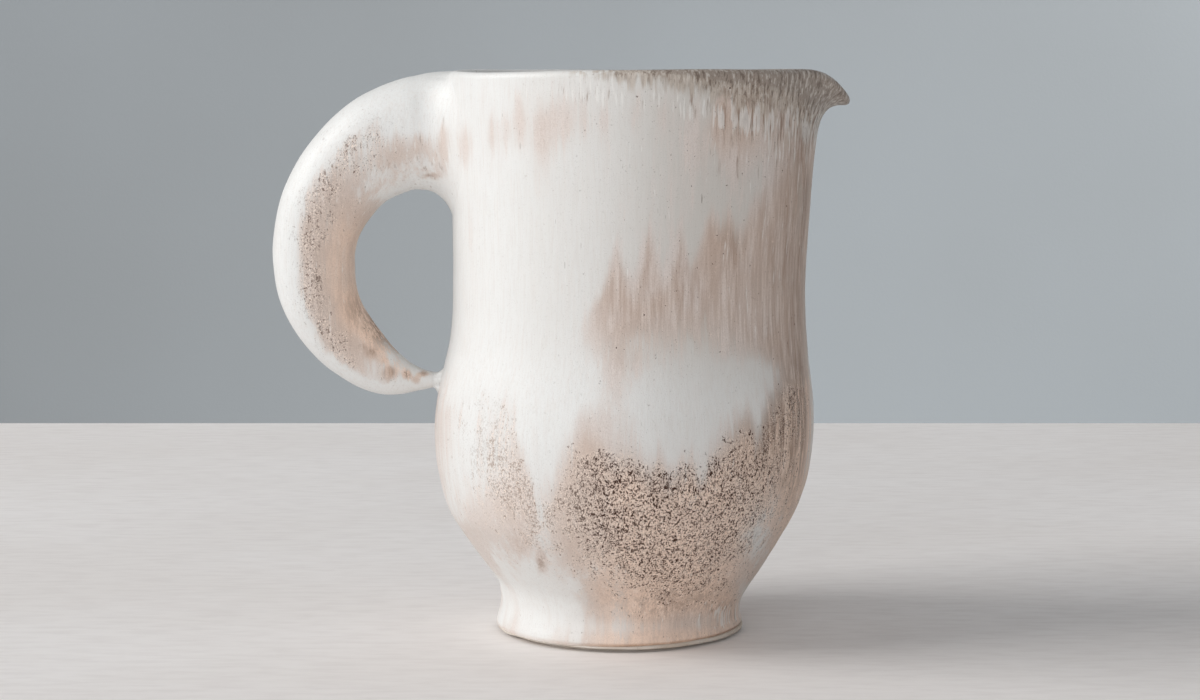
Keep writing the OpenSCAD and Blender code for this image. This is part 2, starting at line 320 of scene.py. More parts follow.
def root_skin():
    phi = np.arange(NPHI) * 2 * np.pi / NPHI
    theta0 = math.pi
    crest = N_OUT - 1 + (LIP_ROWS + 1) / 2.0
    s = np.concatenate([[0], np.cumsum(np.linalg.norm(np.diff(WALL_P[:, NCOL // 2], axis=0), axis=-1))])
    s_mid = np.interp(row_of_height(theta0, 168.5), np.arange(ROWS), s)
    s_top = np.interp(crest, np.arange(ROWS), s)
    s_bot = np.interp(row_of_height(theta0, 139.6), np.arange(ROWS), s)
    cs = np.cos(phi)
    sw = s_mid + np.where(cs > 0, (s_top - s_mid) * cs, (s_mid - s_bot) * cs)
    row = np.interp(sw, s, np.arange(ROWS))
    y = -(15.4 + 13.0) * np.sin(phi)
    theta = math.pi - np.arcsin(np.clip(y / 60.9, -1, 1))
    pts, nrm = on_wall(theta, row)
    along = HANDLE_P[1] - HANDLE_P[0]
    along = along / np.linalg.norm(along, axis=-1, keepdims=True)
    skin = bridge(pts, nrm, HANDLE_P[0], along, 26)
    return skin, nrm


def tip_skin():
    phi = np.arange(NPHI) * 2 * np.pi / NPHI
    rag = 1 + 0.22 * np.sin(3 * phi + 0.6) + 0.12 * np.sin(7 * phi + 2.0)
    z = 85.4 - 4.3 * rag * np.cos(phi)
    y = -5.0 * rag * np.sin(phi)
    theta = math.pi - np.arcsin(np.clip(y / 62.8, -1, 1))
    row = row_of_height(math.pi, z)
    pts, nrm = on_wall(theta, row)
    along = HANDLE_P[-2] - HANDLE_P[-1]
    along = along / np.linalg.norm(along, axis=-1, keepdims=True)
    skin = bridge(pts, nrm, HANDLE_P[-1], along, 14, pull=(0.9, 0.5), sink=0.08)
    return skin, nrm


ROOT_P, ROOT_WN = root_skin()
TIP_P, TIP_WN = tip_skin()


def slab_grid():
    """Rows from the middle of the floor out, over the edge and under to the middle."""
    col = np.radians(np.arange(NCOL) * 360.0 / NCOL)[None, :]
    ring = np.stack([np.cos(col), np.sin(col), 0 * col], -1)
    wave = edge_noise(ring * 2.4 + [3, 1, 0]) * 0.45 + edge_noise(ring * 7.0) * 0.14 + edge_noise(ring * 19.0) * 0.07
    lift = edge_noise(ring * 3.1 + [9, 4, 0]) * 0.14 + edge_noise(ring * 11.0) * 0.06
    lift = lift + 0.75 * np.exp(-(((np.degrees(col) - 236.0) / 30.0) ** 2))
    joint = joint_line(col)
    lines = [  # radius, height, share of the waviness, share of the lift, share of the joint line
        (2.0, 3.0, 0, 0, 0), (10, 3.0, 0, 0, 0), (18, 3.0, 0, 0, 0), (26, 3.0, 0, 0, 0),
        (32, 3.0, 0, 0, 0), (36.6, 3.0, 0, 0, 0), (36.75, 2.2, 0, 0, 1), (40.6, 2.2, 0, 0, 1),
        (41.3, 2.19, 0.5, 0, 1), (41.65, 2.1, 1, 0, 1), (41.85, 1.9, 1, 0, 0.9),
        (41.97, 1.6, 1, 0.2, 0.6), (41.95, 1.3, 1, 0.5, 0.2), (41.8, 1.0, 1, 0.8, 0),
        (41.4, 0.85, 1, 1, 0), (40.8, 0.76, 1, 1, 0), (40.0, 0.68, 0.7, 0.8, 0),
        (39.2, 0.5, 0.4, 0.2, 0), (38.7, 0.08, 0.3, 0, 0), (38.3, 0.0, 0.2, 0, 0),
        (36, 0.0, 0, 0, 0), (30, 0.0, 0, 0, 0), (24, 0.0, 0, 0, 0), (18, 0.0, 0, 0, 0),
        (12, 0.0, 0, 0, 0), (6, 0.0, 0, 0, 0), (2.0, 0.0, 0, 0, 0),
    ]
    L = np.array(lines)
    r = L[:, :1] + L[:, 2:3] * wave
    z = L[:, 1:2] + L[:, 3:4] * lift + L[:, 4:5] * joint
    z = np.where(L[:, 1:2] > 0.03, np.maximum(z, 0.05), z)
    return np.stack([r * np.cos(col), r * np.sin(col), z + 0 * r], -1)


def coil_grid():
    """The fillet in the inside corner, as one ring of closed sections."""
    col = np.radians(np.arange(NCOL) * 360.0 / NCOL)
    leg = 5.0 + 0.5 * edge_noise(np.stack([np.cos(col) * 4, np.sin(col) * 4, 0 * col + 2], -1))
    inner = WALL_P[N_OUT + LIP_ROWS :][::-1]
    inner_r = np.hypot(inner[:, :, 0], inner[:, :, 1])

    def wall_r(z):
        return np.array([np.interp(z[j], inner[:, j, 2], inner_r[:, j]) for j in range(NCOL)])

    foot = inner_r[0]
    rows = [(wall_r(3 + leg * 0.5) + 0.4, 3 + leg * 0.5), (foot + 0.4, 3 + 0 * leg)]
    for k in range(9):
        a = math.pi / 2 * (1 - k / 8.0)
        z = 3 + leg * (1 - math.sin(a))
        rows.append((foot - leg + (wall_r(z) - foot + leg) * math.cos(a), z + 0.03 * (k < 8)))
    return np.array([np.stack([r * np.cos(col), r * np.sin(col), z], -1) for r, z in rows])


# --- end of shape --------------------------------------------------------------

# --- glaze layout ----------------------------------------------------------------
# (u, v) unrolls the front of the pot: u across, v down, about three units to a
# millimetre. The back is laid out like the front seen through it, with a drift.


def spread(P):
    x, y, z = P[..., 0], P[..., 1], P[..., 2]
    q = np.stack([x, -np.abs(y), z], -1) - np.array(EYE)
    f = np.array(AIM) - np.array(EYE)
    f = f / np.linalg.norm(f)
    right = np.array([1.0, 0.0, 0.0])
    up = np.cross(right, f)
    d = q @ f
    u = 600 + FOCAL_PX * (q @ right) / d
    v = 350 - FOCAL_PX * (q @ up) / d
    back = np.clip(y, 0, None)
    u = u + 1.5 * back * np.cos(x / 38.0)
    v = v + 0.55 * back * np.sin(x / 21.0 + 0.6) * ramp(z, 20, 60) * (1 - ramp(z, 165, 188))
    far = ramp(y, 1, 20)
    u = u + 24 * far * blotch(P / [26, 26, 34] + 7)
    v = v + 26 * far * blotch(P / [30, 30, 40] + 3) * (1 - ramp(z, 150, 176))
    return u, v


def spots(u, v, rows):
    """Sum of soft spots: centre u, centre v, radius u, radius v, strength."""
    out = 0.0 * u
    for cu, cv, ru, rv, k in rows:
        out = out + k * np.exp(-(((u - cu) / ru) ** 2) - ((v - cv) / rv) ** 2)
    return out


def line(u, points):
    p = np.array(points, float)
    return np.interp(u, p[:, 0], p[:, 1])


# Lower edge of the white under the rim, lower edge of the pinkish band, lower edge of the white runs.
WHITE_1 = [
    (575, 345), (585, 322), (598, 288), (609, 268), (617, 248), (626, 276), (634, 284), (641, 262),
    (649, 229), (657, 262), (665, 282), (673, 258), (681, 232), (690, 266), (700, 246), (710, 214),
    (719, 226), (728, 216), (741, 238), (752, 210), (765, 188), (780, 176), (795, 160), (811, 130),
    (830, 120),
]
WHITE_2 = [
    (575, 338), (600, 350), (620, 356), (640, 349), (660, 344), (680, 341), (700, 343), (720, 348),
    (740, 352), (757, 362), (772, 384), (790, 400), (812, 410),
]
WHITE_3 = [
    (430, 372), (445, 380), (455, 377), (463, 391), (471, 399), (479, 391), (490, 397), (500, 393),
    (510, 398), (518, 412), (524, 442), (531, 468), (539, 486), (547, 488), (555, 474), (564, 452),
    (574, 428), (586, 414), (600, 430), (614, 447), (628, 444), (640, 452), (650, 464), (660, 450),
    (670, 472), (680, 462), (690, 452), (700, 470), (710, 450), (722, 436), (735, 418), (748, 404),
    (757, 428), (770, 396), (785, 384), (800, 372), (815, 360),
]


def wall_glaze(P):
    """Fields painted on the wall, beak and slab edge, each 0 to 1 or so."""
    u, v = spread(P)
    z = P[..., 2]
    soft = 1.35 + 0.6 * blotch(P / [14, 14, 22])
    v1, v2, v3 = line(u, WHITE_1), line(u, WHITE_2), line(u, WHITE_3)

    def above(edge, width):
        return np.clip(0.5 + (edge - v) / (width * soft), 0, 1)

    upper = above(v1 + 3, 38)
    middle = np.minimum(1 - above(v2 - 2, 60), above(v3, 46))
    left = (1 - ramp(u, 560, 610)) * above(v3 + 2, 50)
    white = np.maximum(np.maximum(upper, middle), left)
    right = ramp(u, 752, 806)
    white = white * (1 - 0.72 * right * ramp(v, 90, 190))
    # The broad spots at (744, 132), (722, 195) and (640, 210) below are painted shade mixed with a beige tone: they
    # grey the white on the upper right, away from the light.
    white = white - spots(u, v, [
        (613, 402, 22, 44, 0.58), (640, 365, 30, 14, 0.2), (443, 133, 9, 28, 0.75), (465, 145, 8, 24, 0.62),
        (491, 134, 7, 30, 0.7), (520, 120, 9, 34, 0.72), (542, 132, 12, 38, 0.85), (567, 122, 8, 30, 0.7), (506, 128, 6, 24, 0.4), (555, 116, 6, 26, 0.45),
        (584, 118, 8, 30, 0.6), (604, 116, 8, 26, 0.5), (636, 112, 10, 26, 0.45), (662, 114, 10, 26, 0.45), (728, 118, 11, 34, 0.95), (716, 128, 6, 20, 0.4), (752, 112, 10, 34, 0.8),
        (768, 120, 8, 36, 0.55), (786, 118, 9, 40, 0.65), (803, 130, 9, 34, 0.7), (700, 152, 8, 30, 0.22),
        (742, 104, 30, 12, 0.3), (744, 132, 50, 40, 0.46), (722, 195, 70, 60, 0.2), (640, 210, 80, 90, 0.17), (690, 140, 6, 26, 0.25), (655, 300, 40, 26, 0.15), (540, 190, 5, 20, 0.16),
        (738, 170, 12, 40, 0.25), (470, 236, 6, 30, 0.1), (640, 140, 8, 30, 0.1), (672, 180, 8, 50, 0.1),
        (800, 210, 14, 60, 0.35), (790, 300, 16, 70, 0.25), (446, 330, 8, 30, 0.12),
        (770, 372, 18, 14, -0.35), (735, 385, 26, 22, -0.2), (748, 292, 18, 20, -0.12),
    ])
    low_left = ramp(v, 530 - 20 * ramp(u, 520, 560), 588 - 10 * ramp(u, 520, 560)) * (1 - ramp(u, 530, 655)) * (1 - 0.75 * np.exp(-(((u - 585) / 34) ** 2) - ((v - 540) / 34) ** 2))
    white = white + 0.75 * low_left * (0.72 + 0.5 * blotch(P / [5, 5, 26] + 4))
    white = white + spots(u, v, [
        (541, 545, 12, 40, 0.42), (556, 604, 30, 26, 0.6), (648, 560, 60, 60, 0.05), (512, 596, 16, 30, 0.35), (759, 536, 11, 36, 0.62),
        (775, 505, 9, 40, 0.32), (742, 590, 10, 20, 0.45), (700, 618, 30, 12, 0.3), (462, 440, 14, 60, 0.24),
        (450, 500, 16, 40, 0.24), (500, 540, 26, 26, 0.3), (480, 450, 46, 78, 0.62), (541, 520, 8, 40, 0.2), (527, 420, 7, 20, 0.3), (745, 545, 10, 30, 0.3),
        (640, 628, 60, 8, 0.22), (610, 618, 34, 26, 0.16), (640, 420, 60, 30, 0.06), (478, 450, 30, 40, 0.08), (600, 556, 22, 30, 0.1), (500, 530, 34, 30, -0.16),
    ])
    white = white - spots(u, v, [
        (541, 560, 6, 14, 0.75), (522, 540, 10, 18, 0.3), (500, 602, 10, 12, 0.35), (590, 590, 16, 20, 0.3),
        (508, 505, 22, 16, 0.2),
    ])
    belly = ramp(v, v3 - 6, v3 + 40)
    tan = ramp(u, 535, 630) * belly
    warm = 0.1 + 0.68 * tan + 0.06 * (1 - tan) * belly
    warm = warm + 0.22 * right * ramp(v, 150, 240) + 0.12 * ramp(v, 540, 610) * ramp(u, 560, 640)
    warm = warm - spots(u, v, [(755, 560, 26, 50, 0.25), (690, 622, 50, 10, 0.3), (470, 430, 40, 60, 0.1)])
    warm = warm + spots(u, v, [(735, 120, 34, 40, 0.4), (800, 130, 20, 60, 0.3), (735, 245, 30, 40, 0.2)])
    band = ramp(v, v1 - 14, v1 + 22) * (1 - ramp(v, v2 - 4, v2 + 30)) * ramp(u, 580, 620)
    warm = warm + 0.2 * band
    dense = spots(u, v, [
        (640, 496, 62, 36, 0.9), (592, 472, 34, 26, 0.36), (572, 505, 18, 40, 0.26), (700, 510, 74, 44, 1.05), (650, 545, 76, 34, 0.7), (672, 572, 70, 26, 0.42),
        (735, 470, 40, 46, 0.5), (775, 430, 26, 46, 0.42), (792, 400, 16, 34, 0.5), (600, 505, 20, 36, 0.3),
        (606, 462, 10, 16, 0.6), (632, 468, 8, 12, 0.5), (680, 610, 70, 16, 0.12), (540, 520, 16, 60, 0.3), (700, 596, 60, 20, 0.14), (640, 600, 40, 24, 0.12),
        (486, 440, 34, 62, 0.5), (508, 480, 34, 50, 0.36), (525, 500, 20, 50, 0.3), (470, 400, 20, 16, 0.3),
        (800, 240, 10, 120, 0.16),
    ])
    speck = np.clip(dense, 0, 1.2) * ramp(v, v3 - 30, v3 + 30) + 0.05
    grey = 0.95 * (1 - ramp(u, 530, 610))
    top = line(u, [(430, 62), (555, 68), (600, 73), (640, 78), (700, 85), (750, 91), (800, 97), (850, 100)])
    taupe_film_and_shade = np.clip(0.5 + (top + 5 - v) / (24 * soft), 0, 1) * ramp(u, 525, 650)
    # Painted shade, partly real grey-brown glaze: the film deepens on the right under the rim and most under the beak,
    # where the flare faces down.
    taupe_film_and_shade = taupe_film_and_shade + 0.46 * ramp(u, 680, 740) * (1 - ramp(v, 105, 175)) + 0.75 * ramp(u, 788, 812) * (1 - ramp(v, 98, 150))
    taupe_film_and_shade = taupe_film_and_shade + 0.9 * (1 - ramp(v, top - 13, top - 5)) * (0.45 * ramp(u, 455, 540) + 0.55 * ramp(u, 560, 640))
    taupe_film_and_shade = taupe_film_and_shade + spots(u, v, [(800, 190, 12, 60, 0.34), (805, 330, 10, 80, 0.36), (620, 74, 40, 6, 0.25)])
    fringe = line(u, [(500, 76), (600, 84), (660, 90), (700, 98), (750, 108), (800, 116), (850, 118)])
    dash = np.exp(-(((v - fringe - 11) / 16.0) ** 2)) * (0.6 * ramp(u, 515, 590) + 0.3 * ramp(u, 680, 740))
    dash = dash + spots(u, v, [(728, 612, 22, 14, 0.9), (690, 622, 40, 8, 0.4), (497, 560, 20, 30, 0.3)])
    dash = dash + 0.42 * np.exp(-(((v - 152) / 46.0) ** 2)) * ramp(u, 690, 730)
    dash = dash + 0.32 * np.exp(-(((v - 260) / 60.0) ** 2)) * ramp(u, 700, 760)
    tone = np.clip(0.34 * right * ramp(v, 100, 160) + 0.25 * band * (1 - 0.6 * right) + spots(u, v, [
        (808, 250, 10, 130, 0.75), (774, 436, 38, 50, 0.9), (786, 250, 5, 50, 0.2), (770, 300, 6, 40, 0.2), (729, 270, 8, 52, 0.22), (735, 238, 12, 20, 0.18), (674, 602, 74, 24, 0.6),
        (618, 285, 14, 22, 0.12), (668, 300, 40, 26, 0.1), (800, 385, 14, 40, 0.4), (541, 562, 4, 9, 0.9),
    ]), 0, 1.2)
    # The end under the spout, which the photo shows only edge on: lighter, with its own white runs.
    end = ramp(P[..., 0] / np.hypot(P[..., 0], P[..., 1]).clip(1e-6), 0.925, 0.99) * ramp(v, 110, 170)
    tone = tone * (1 - 0.72 * end)
    white = white + end * (0.3 + 0.42 * blotch(P / [13, 13, 34] + 11)) * (1 - 0.55 * ramp(v, 440, 520))
    return {
        "white": white, "warm": warm, "speck": speck, "grey": grey, "taupe_film_and_shade": taupe_film_and_shade, "dash": dash,
        # Painted shade: the white greys from the middle towards the right of the upper body, away from the window
        # light.
        "white_painted_shade": (0.2 * ramp(u, 480, 560) + 0.45 * ramp(u, 560, 710)) * (1 - 0.75 * ramp(v, 320, 410)) * (1 - 0.5 * ramp(u, 750, 800)),
        "tone": tone, "inside": ramp(v, 550, 605), "edge": (1 - ramp(z, 2.2, 3.5)) * (0.35 + 0.65 * ramp(u, 560, 640)),
    }


def handle_glaze(P, c, t):
    """Fields on the handle: c is 1 on the outside of the loop, -1 on its inside; t runs root to tip."""
    n = blotch(P / [9, 9, 14] + 2) * 0.22
    c = c + n * 0.7
    low = ramp(t, 7.5, 11.5)
    start = 1 - ramp(t, 0.3, 3.4)
    white = ramp(c, 0.02 + 0.2 * low, 0.72 + 0.12 * low)
    white = np.maximum(white, start * ramp(c, -0.35, 0.25) * 0.95)
    white = white + 0.55 * start * (1 - ramp(c, -0.9, -0.55))
    white = white + 0.42 - 0.22 * ramp(t, 1.6, 3.0) * (1 - ramp(t, 9.0, 10.6)) * (1 - ramp(c, 0.3, 0.8)) + 0.14 * blotch(P / [7, 7, 20] + 8)
    white = white - 0.3 * (1 - ramp(c, -0.75, 0.05)) * ramp(t, 2.6, 4.5) * (1 - 0.55 * ramp(t, 10.5, 13))
    white = white + 0.6 * ramp(t, 9.2, 12.2)
    u, v = spread(P)
    white = white + 0.35 * start * (1 - ramp(c, -0.5, 0.0)) - spots(u, v, [
        (390, 373, 8, 8, 1.0), (407, 375, 5, 5, 0.9), (372, 353, 6, 4, 0.8), (362, 346, 4, 3, 0.6),
        (431, 176, 9, 3, 0.8), (424, 374, 6, 3, 0.9), (384, 360, 4, 3, 0.6), (416, 380, 5, 4, 0.7),
        (350, 392, 20, 10, 0.3),
        (372, 130, 10, 16, 0.35), (352, 140, 10, 20, 0.4), (418, 138, 9, 20, 0.45), (440, 134, 8, 20, 0.5),
        (400, 150, 12, 22, 0.35), (428, 168, 16, 16, 0.2), (386, 160, 12, 22, 0.3), (444, 165, 10, 24, 0.3),
    ])
    mid = np.exp(-(((c - 0.14) / 0.46) ** 2))
    speck = 0.58 * mid * ramp(t, 0.7, 2.2) * (1 - ramp(t, 8.6, 10.4)) + 0.08
    speck = speck + 0.3 * np.exp(-(((t - 11.8) / 1.1) ** 2)) * np.exp(-(((c + 0.1) / 0.6) ** 2))
    warm = 0.36 + 0.36 * (1 - ramp(c, -0.6, 0.4)) * ramp(t, 2, 4.5)
    warm = warm + 0.5 * (1 - ramp(c, -0.95, -0.25)) * ramp(t, 6.2, 9.5) * (1 - ramp(t, 11.6, 13.2))
    tone = 0.36 * mid * ramp(t, 0.8, 2.4) * (1 - ramp(t, 8, 10.4))
    tone = tone + 0.95 * (1 - ramp(c, -0.98, -0.45)) * ramp(t, 6.5, 9.5) * (1 - ramp(t, 11.3, 12.8))
    tone = tone + spots(u, v, [(390, 372, 7, 8, 0.9), (407, 374, 4, 5, 0.9), (372, 352, 5, 4, 0.8), (362, 346, 4, 3, 0.6), (431, 176, 8, 3, 0.7), (423, 372, 5, 3, 0.7)])
    dash = 0.35 * start * (1 - ramp(c, 0.1, 0.5)) + 0.12
    return {
        "white": white, "warm": warm, "speck": speck, "grey": 0.5 + 0 * c, "taupe_film_and_shade": 0.25 * start * (1 - ramp(c, -1, -0.7)),
        "dash": dash, "tone": tone, "inside": 0 * c, "edge": 0 * c, "white_painted_shade": 0 * c,
    }


def inside_glaze(P):
    z = P[..., 2]
    a = np.arctan2(P[..., 1], P[..., 0])
    white = 0.86 + 0.2 * blotch(P / [22, 22, 40]) - 0.35 * (1 - ramp(z, 8, 30)) * (0.5 + 0.5 * blotch(P / [11, 11, 11]))
    white = white - 0.3 * ramp(z, 172, 188) * ramp(np.cos(a), -0.2, 0.7)
    return {
        "white": white, "warm": 0.4 + 0.2 * (1 - ramp(z, 5, 40)), "speck": 0.12 + 0.16 * (1 - ramp(z, 10, 60)),
        "grey": 0.3 + 0 * z, "taupe_film_and_shade": 0.8 * ramp(z, 176, 188) * ramp(np.cos(a), -0.6, 0.4),
        "dash": 0.35 * ramp(z, 165, 180), "tone": 0 * z, "inside": 1 + 0 * z, "edge": 0 * z, "white_painted_shade": 0 * z,
    }


# --- materials ---------------------------------------------------------------------


def linear(rgb):
    """sRGB 0-255 to a linear colour."""
    out = []
    for c in rgb:
        c = c / 255.0
        out.append(c / 12.92 if c <= 0.04045 else ((c + 0.055) / 1.055) ** 2.4)
    return out + [1.0]


class Graph:
    """Short forms for building one node material."""

    def __init__(self, name):
        self.mat = bpy.data.materials.new(name)
        self.mat.use_nodes = True
        self.tree = self.mat.node_tree
        self.tree.nodes.clear()
        self.place = 0

    def node(self, kind, **settings):
        n = self.tree.nodes.new(kind)
        n.location = (180 * (self.place % 24), -260 * (self.place // 24))
        self.place += 1
        for k, v in settings.items():
            setattr(n, k, v)
        return n

    def put(self, socket, value):
        if isinstance(value, bpy.types.NodeSocket):
            self.tree.links.new(value, socket)
        else:
            socket.default_value = value

    def math(self, op, a, b=0.0, clamp=False):
        n = self.node("ShaderNodeMath", operation=op, use_clamp=clamp)
        self.put(n.inputs[0], a)
        self.put(n.inputs[1], b)
        return n.outputs[0]

    def add(self, a, b):
        return self.math("ADD", a, b)

    def mul(self, a, b):
        return self.math("MULTIPLY", a, b)

    def step(self, x, lo, hi, to=(0.0, 1.0)):
        n = self.node("ShaderNodeMapRange", interpolation_type="SMOOTHSTEP")
        for name, v in zip(("Value", "From Min", "From Max", "To Min", "To Max"), (x, lo, hi) + to):
            self.put(n.inputs[name], v)
        return n.outputs["Result"]

    def attr(self, name):
        return self.node("ShaderNodeAttribute", attribute_name=name).outputs["Fac"]

    def mix(self, f, a, b, blend="MIX"):
        n = self.node("ShaderNodeMix", data_type="RGBA", blend_type=blend)
        self.put(n.inputs["Factor"], f)
        self.put([i for i in n.inputs if i.name == "A" and i.type == "RGBA"][0], a)
        self.put([i for i in n.inputs if i.name == "B" and i.type == "RGBA"][0], b)
        return [o for o in n.outputs if o.type == "RGBA"][0]

    def coords(self, scale, shift=(0.0, 0.0, 0.0)):
        """Object coordinates, given as features per millimetre."""
        if not hasattr(self, "tc"):
            self.tc = self.node("ShaderNodeTexCoord")
        n = self.node("ShaderNodeMapping")
        self.put(n.inputs["Vector"], self.tc.outputs["Object"])
        n.inputs["Scale"].default_value = [s * 1000.0 for s in scale]
        n.inputs["Location"].default_value = shift
        return n.outputs["Vector"]

    def noise(self, scale, detail=2.0, rough=0.5, bend=0.0, shift=(0.0, 0.0, 0.0)):
        n = self.node("ShaderNodeTexNoise")
        self.put(n.inputs["Vector"], self.coords(scale, shift))
        n.inputs["Scale"].default_value = 1.0
        n.inputs["Detail"].default_value = detail
        n.inputs["Roughness"].default_value = rough
        n.inputs["Distortion"].default_value = bend
        return n.outputs["Fac"]

    def bump(self, height, depth_mm, normal=None):
        n = self.node("ShaderNodeBump")
        n.inputs["Strength"].default_value = 1.0
        n.inputs["Distance"].default_value = depth_mm / 1000.0
        self.put(n.inputs["Height"], height)
        if normal is not None:
            self.put(n.inputs["Normal"], normal)
        return n.outputs["Normal"]

    def finish(self, colour, rough, normal, **more):
        p = self.node("ShaderNodeBsdfPrincipled")
        self.put(p.inputs["Base Color"], colour)
        self.put(p.inputs["Roughness"], rough)
        self.put(p.inputs["Normal"], normal)
        for k, v in more.items():
            self.put(p.inputs[k.replace("_", " ")], v)
        out = self.node("ShaderNodeOutputMaterial")
        self.tree.links.new(p.outputs["BSDF"], out.inputs["Surface"])
        return self.mat


def glaze(name, shift):
    g = Graph(name)
    s = shift
    streak = g.noise((0.42, 0.42, 0.032), 3.0, 0.55, 0.0, (s, 0, 0))
    fine = g.noise((1.5, 1.5, 0.085), 3.0, 0.6, 0.0, (0, s, 0))
    cloud = g.noise((0.085, 0.085, 0.055), 3.0, 0.5, 0.4, (0, 0, s))
    grain = g.noise((2.6, 2.6, 2.2), 2.0, 0.6, 0.0, (s, s, 0))
    both = g.add(g.mul(g.add(streak, -0.5), 1.25), g.mul(g.add(fine, -0.5), 0.75))
    both = g.add(both, g.mul(g.add(cloud, -0.5), 0.55))
    calm = g.step(g.attr("inside"), 0.0, 1.0, (1.0, 0.6))
    thick = g.add(g.attr("white"), g.mul(both, calm))
    cover = g.add(g.mul(g.step(thick, -0.15, 1.0), 0.5), g.mul(g.step(thick, 0.22, 0.8), 0.5))
    # What shows where the white is thin.
    warm = g.add(g.attr("warm"), g.add(g.mul(g.add(cloud, -0.5), 0.6), g.mul(g.add(streak, -0.5), 0.35)))
    under = g.mix(g.step(warm, 0.0, 0.5), linear((217, 207, 201)), linear((208, 190, 178)))
    # The lightest tan covers most of the lower belly: it is the glaze colour lightened with painted light, standing in
    # for light bounced up from the table.
    under = g.mix(g.step(warm, 0.42, 1.0), under, linear((240, 212, 192)))
    veil = g.add(g.mul(streak, 0.6), g.mul(fine, 0.4))
    under = g.mix(g.step(veil, 0.44, 0.62, (0.0, 0.34)), under, linear((188, 160, 143)))
    under = g.mix(g.step(veil, 0.46, 0.36, (0.0, 0.25)), under, linear((224, 212, 204)))
    tone = g.math("MULTIPLY", g.attr("tone"), g.step(g.add(g.mul(fine, 0.5), g.mul(streak, 0.5)), 0.34, 0.62), True)
    under = g.mix(tone, under, linear((139, 112, 94)))
    under = g.mix(g.step(grain, 0.38, 0.68, (0.0, 0.2)), under, linear((158, 130, 112)))
    white = g.mix(g.step(fine, 0.42, 0.7), linear((226, 226, 224)), linear((222, 220, 217)))
    white = g.mix(g.step(streak, 0.52, 0.72, (0.0, 0.16)), white, linear((221, 211, 204)))
    # Painted shade: the white turns grey-beige where this field is strong, on the upper body's right, away from the
    # light.
    white = g.mix(g.attr("white_painted_shade"), white, linear((192, 185, 176)))
    colour = g.mix(cover, under, white)
    # Grey-brown film under the rim, partly real glaze and partly painted shade where the rim flares out over the beak,
    # and short brown runs below it.
    drip = g.noise((0.5, 0.5, 0.07), 2.0, 0.55, 0.2, (2.6, 4.4, s))
    film = g.add(g.attr("taupe_film_and_shade"), g.add(g.mul(g.add(fine, -0.5), 0.8), g.mul(g.add(drip, -0.5), 2.2)))
    film = g.mul(g.step(film, 0.22, 0.8), g.step(g.attr("taupe_film_and_shade"), 0.03, 0.4))
    brown = g.mix(g.step(g.add(g.mul(fine, 0.6), g.mul(drip, 0.4)), 0.42, 0.6), linear((148, 131, 116)), linear((192, 180, 168)))
    # Painted shade under the beak and right rim: the film darkens further where its field passes 1.
    brown = g.mix(g.step(g.attr("taupe_film_and_shade"), 1.0, 1.7, (0.0, 0.75)), brown, linear((128, 112, 99)))
    colour = g.mix(g.mul(film, 0.82), colour, brown)
    run = g.noise((0.75, 0.75, 0.09), 3.0, 0.6, 0.03, (3.7, s, 1.1))
    runs = g.step(g.add(run, g.mul(g.attr("dash"), 0.19)), 0.66, 0.86)
    runs = g.mul(runs, g.step(g.attr("dash"), 0.06, 0.5))
    colour = g.mix(g.mul(runs, 0.78), colour, linear((132, 104, 86)))
    light = g.noise((0.9, 0.9, 0.1), 2.0, 0.5, 0.0, (9.1, s, 4.1))
    lights = g.step(g.add(light, g.mul(g.attr("dash"), 0.24)), 0.68, 0.8)
    colour = g.mix(g.mul(lights, 0.6), colour, linear((230, 228, 224)))
    crest = g.step(g.attr("taupe_film_and_shade"), 0.35, 1.1)
    fleck = g.noise((0.95, 0.95, 0.3), 3.0, 0.65, 0.15, (2.9, s, 0.7))
    colour = g.mix(g.mul(g.mul(g.step(fleck, 0.53, 0.62), crest), 0.72), colour, linear((104, 88, 76)))
    colour = g.mix(g.mul(g.mul(g.step(fleck, 0.45, 0.37), crest), 0.6), colour, linear((214, 207, 199)))
    # Iron specks: dots and short worms, crowding together where the speck field is strong.
    crowd = g.noise((0.24, 0.24, 0.18), 3.0, 0.6, 0.3, (s, 2.2, 0.3))
    field = g.add(g.attr("speck"), g.mul(g.add(crowd, -0.5), 1.7))
    dot = g.noise((1.75, 1.75, 1.4), 2.0, 0.6, 0.3, (s, 5.5, 2.7))
    dots = g.step(g.math("SUBTRACT", dot, g.step(field, 0.0, 1.0, (0.73, 0.577))), 0.0, 0.025)
    bend = g.noise((0.92, 0.92, 0.72), 1.0, 0.5, 0.9, (2.2, s, 7.3))
    worm = g.step(g.math("ABSOLUTE", g.add(bend, -0.5)), 0.04, 0.075, (1.0, 0.0))
    part = g.noise((1.0, 1.0, 0.75), 1.0, 0.5, 0.0, (7.2, 3.3, s))
    worms = g.mul(worm, g.step(g.math("SUBTRACT", part, g.step(field, 0.0, 1.0, (0.76, 0.52))), 0.0, 0.03))
    tiny = g.noise((2.7, 2.7, 2.1), 2.0, 0.6, 0.2, (6.4, s, 5.2))
    fines = g.mul(g.step(g.math("SUBTRACT", tiny, g.step(field, 0.0, 1.0, (0.7, 0.585))), 0.0, 0.05), 0.6)
    specks = g.math("MAXIMUM", g.math("MAXIMUM", dots, worms), fines)
    pale = g.mul(g.mul(g.step(tiny, 0.47, 0.36), g.step(field, 0.1, 0.8)), 0.8)
    colour = g.mix(g.mul(pale, g.step(cover, 0.4, 0.9, (1.0, 0.0))), colour, linear((247, 230, 216)))
    dark = g.mix(g.attr("grey"), linear((62, 31, 14)), linear((176, 158, 146)))
    strong = g.step(g.noise((0.6, 0.6, 0.6), 1.0, 0.5, 0.0, (1.5, s, 8.8)), 0.28, 0.46, (0.8, 1.0))
    hide = g.step(cover, 0.35, 1.0, (1.0, 0.3))
